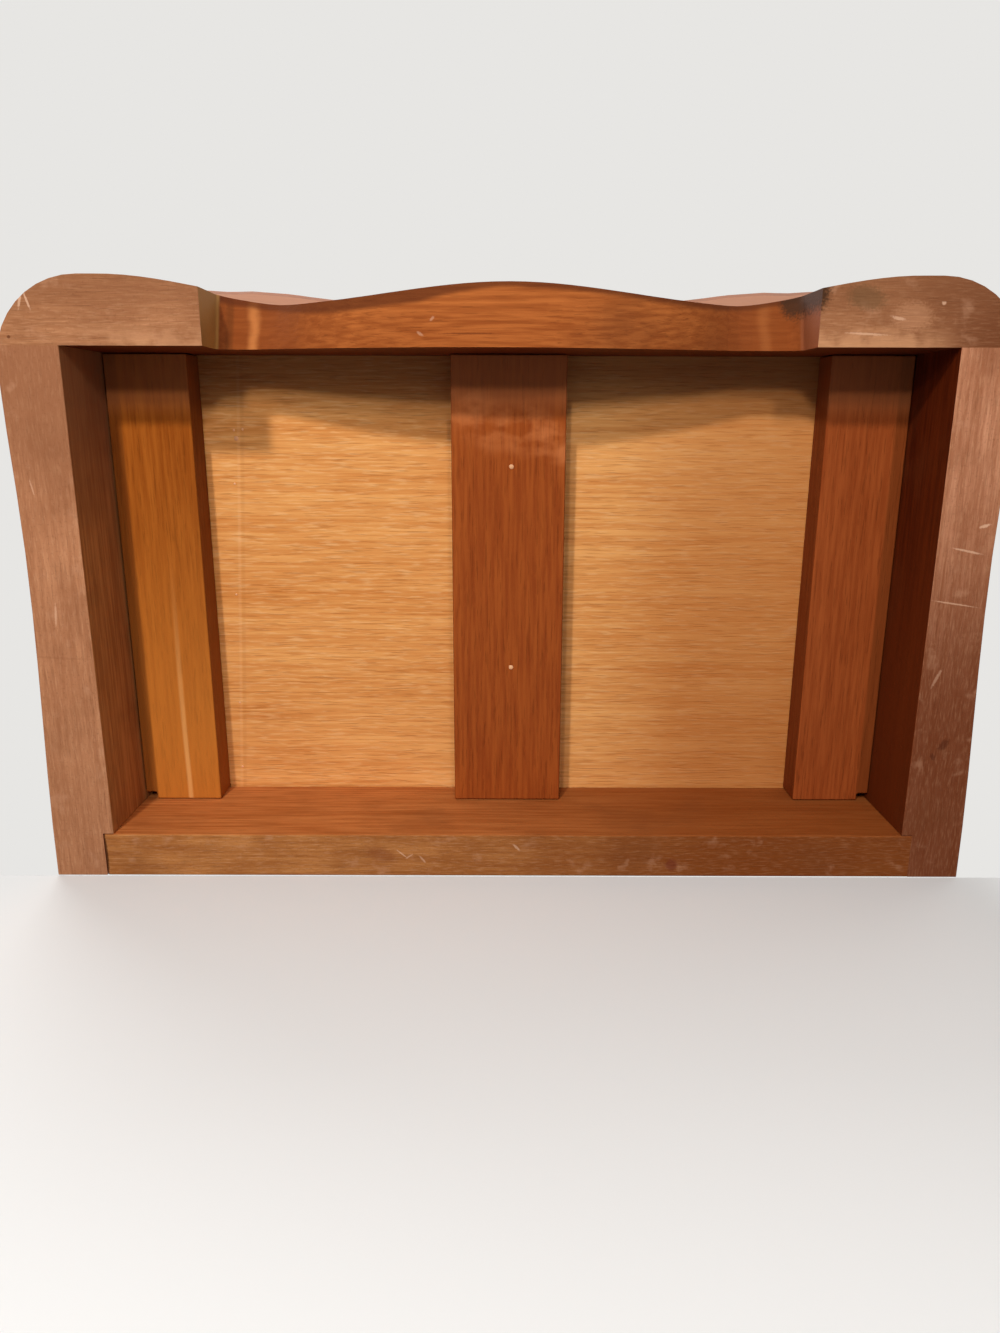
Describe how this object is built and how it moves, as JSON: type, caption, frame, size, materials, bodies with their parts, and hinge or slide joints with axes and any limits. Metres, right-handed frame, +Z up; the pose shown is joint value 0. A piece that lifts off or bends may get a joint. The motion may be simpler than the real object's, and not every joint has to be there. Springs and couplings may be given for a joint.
{
  "type": "musical jewelry box",
  "caption": "Wooden jewelry box with a serpentine front, hinged moulded lid, lift-out tray, ring rolls and a key-wound cylinder music movement, on bracket feet.",
  "frame": {"origin": "middle of the footprint, on the surface that the feet stand on", "axes": "+X to the right seen from the front, -Y towards the serpentine front, +Y towards the hinges, +Z up to the lid"},
  "size_m": [0.327, 0.2014, 0.1073],
  "materials": {
    "case_wood": "worn cherry-toned wood, bare and scuffed below, satin varnish outside",
    "batten_wood": "stained wood, dull",
    "inner_wood": "stained wood, satin",
    "plywood": "thin pale veneer, dull",
    "lid_wood": "satin varnish",
    "lining_cloth": "short-pile velvet",
    "hinge_brass": "polished brass plate",
    "movement_brass": "satin brass",
    "steel": "ground steel",
    "mirror_glass": "silvered glass",
    "clear_cover": "clear plastic plate"
  },
  "bodies": {
    "case": {"front_board": "case_wood", "left_side_board": "case_wood", "right_side_board": "case_wood", "back_board": "case_wood", "bottom_panel": "plywood", "left_batten": "batten_wood", "centre_batten": "batten_wood", "right_batten": "batten_wood", "ring_partition": "inner_wood", "centre_partition": "inner_wood", "movement_partition": "inner_wood", "cover_cleat": "inner_wood", "movement_cover": "clear_cover", "well_lining": "lining_cloth", "side_well_lining": "lining_cloth", "ring_roll_outer": "lining_cloth", "ring_roll_inner": "lining_cloth", "back_tray_runner": "inner_wood", "front_tray_runner": "inner_wood", "left_hinge_case_leaf": "hinge_brass", "left_hinge_pin": "steel", "right_hinge_case_leaf": "hinge_brass", "right_hinge_pin": "steel", "bedplate": "movement_brass", "comb": "steel", "comb_screw_left": "steel", "comb_screw_middle": "steel", "comb_screw_right": "steel", "barrel_bridge": "movement_brass", "left_bracket": "movement_brass", "governor_frame": "movement_brass"},
    "lid": {"lid_panel": "lid_wood", "lid_mirror": "mirror_glass", "mirror_mat": "lining_cloth", "left_hinge_lid_leaf": "hinge_brass", "right_hinge_lid_leaf": "hinge_brass"},
    "tray": {"tray": "inner_wood", "tray_long_divider": "inner_wood", "tray_short_divider_left": "inner_wood", "tray_short_divider_right": "inner_wood", "tray_pad_back": "lining_cloth", "tray_pad_left": "lining_cloth", "tray_pad_middle": "lining_cloth", "tray_pad_right": "lining_cloth"},
    "key": {"winding_arbor": "steel", "winding_key": "hinge_brass"},
    "spring_barrel": {"barrel_drum": "movement_brass", "barrel_cap": "movement_brass", "mainspring": "steel"},
    "cylinder": {"music_cylinder": "movement_brass", "cylinder_arbor": "steel", "cylinder_wheel": "movement_brass"},
    "second_arbor": {"second_arbor": "steel", "worm_wheel": "movement_brass"},
    "fly": {"worm_shaft": "steel", "governor_fly": "movement_brass"},
    "stop_wire": {"stop_wire": "steel"}
  },
  "joints": [
    {"name": "lid_hinge", "type": "hinge", "parent": "case", "child": "lid", "pos_m": [0, 0.09765, 0.08815], "axis": [-1, 0, 0], "range_deg": [0, 95]},
    {"name": "tray_lift", "type": "slide", "parent": "case", "child": "tray", "axis": [0, 0, 1], "range_m": [0, 0.004]},
    {"name": "key_turn", "type": "hinge", "parent": "case", "child": "key", "pos_m": [0.0798, 0.06025, 0.0752], "axis": [0, 0, 1], "continuous": true},
    {"name": "cylinder_spin", "type": "hinge", "parent": "case", "child": "cylinder", "pos_m": [0.104, 0.06025, 0.0618], "axis": [1, 0, 0], "continuous": true},
    {"name": "barrel_spin", "type": "hinge", "parent": "case", "child": "spring_barrel", "pos_m": [0.0798, 0.06025, 0.054], "axis": [0, 0, 1], "continuous": true},
    {"name": "second_arbor_spin", "type": "hinge", "parent": "case", "child": "second_arbor", "pos_m": [0.12, 0.07025, 0.0618], "axis": [1, 0, 0], "continuous": true},
    {"name": "fly_spin", "type": "hinge", "parent": "case", "child": "fly", "pos_m": [0.1216, 0.07655, 0.054], "axis": [0, 0, 1], "continuous": true},
    {"name": "stop_wire_slide", "type": "slide", "parent": "case", "child": "stop_wire", "axis": [0, 0, 1], "range_m": [0, 0.003]}
  ],
  "couplings": [
    {"joint": "barrel_spin", "follows": "cylinder_spin", "ratio": 0.33333},
    {"joint": "second_arbor_spin", "follows": "cylinder_spin", "ratio": -4},
    {"joint": "fly_spin", "follows": "cylinder_spin", "ratio": 40},
    {"joint": "stop_wire_slide", "follows": "lid_hinge", "m_per_rad": 0.0018}
  ]
}
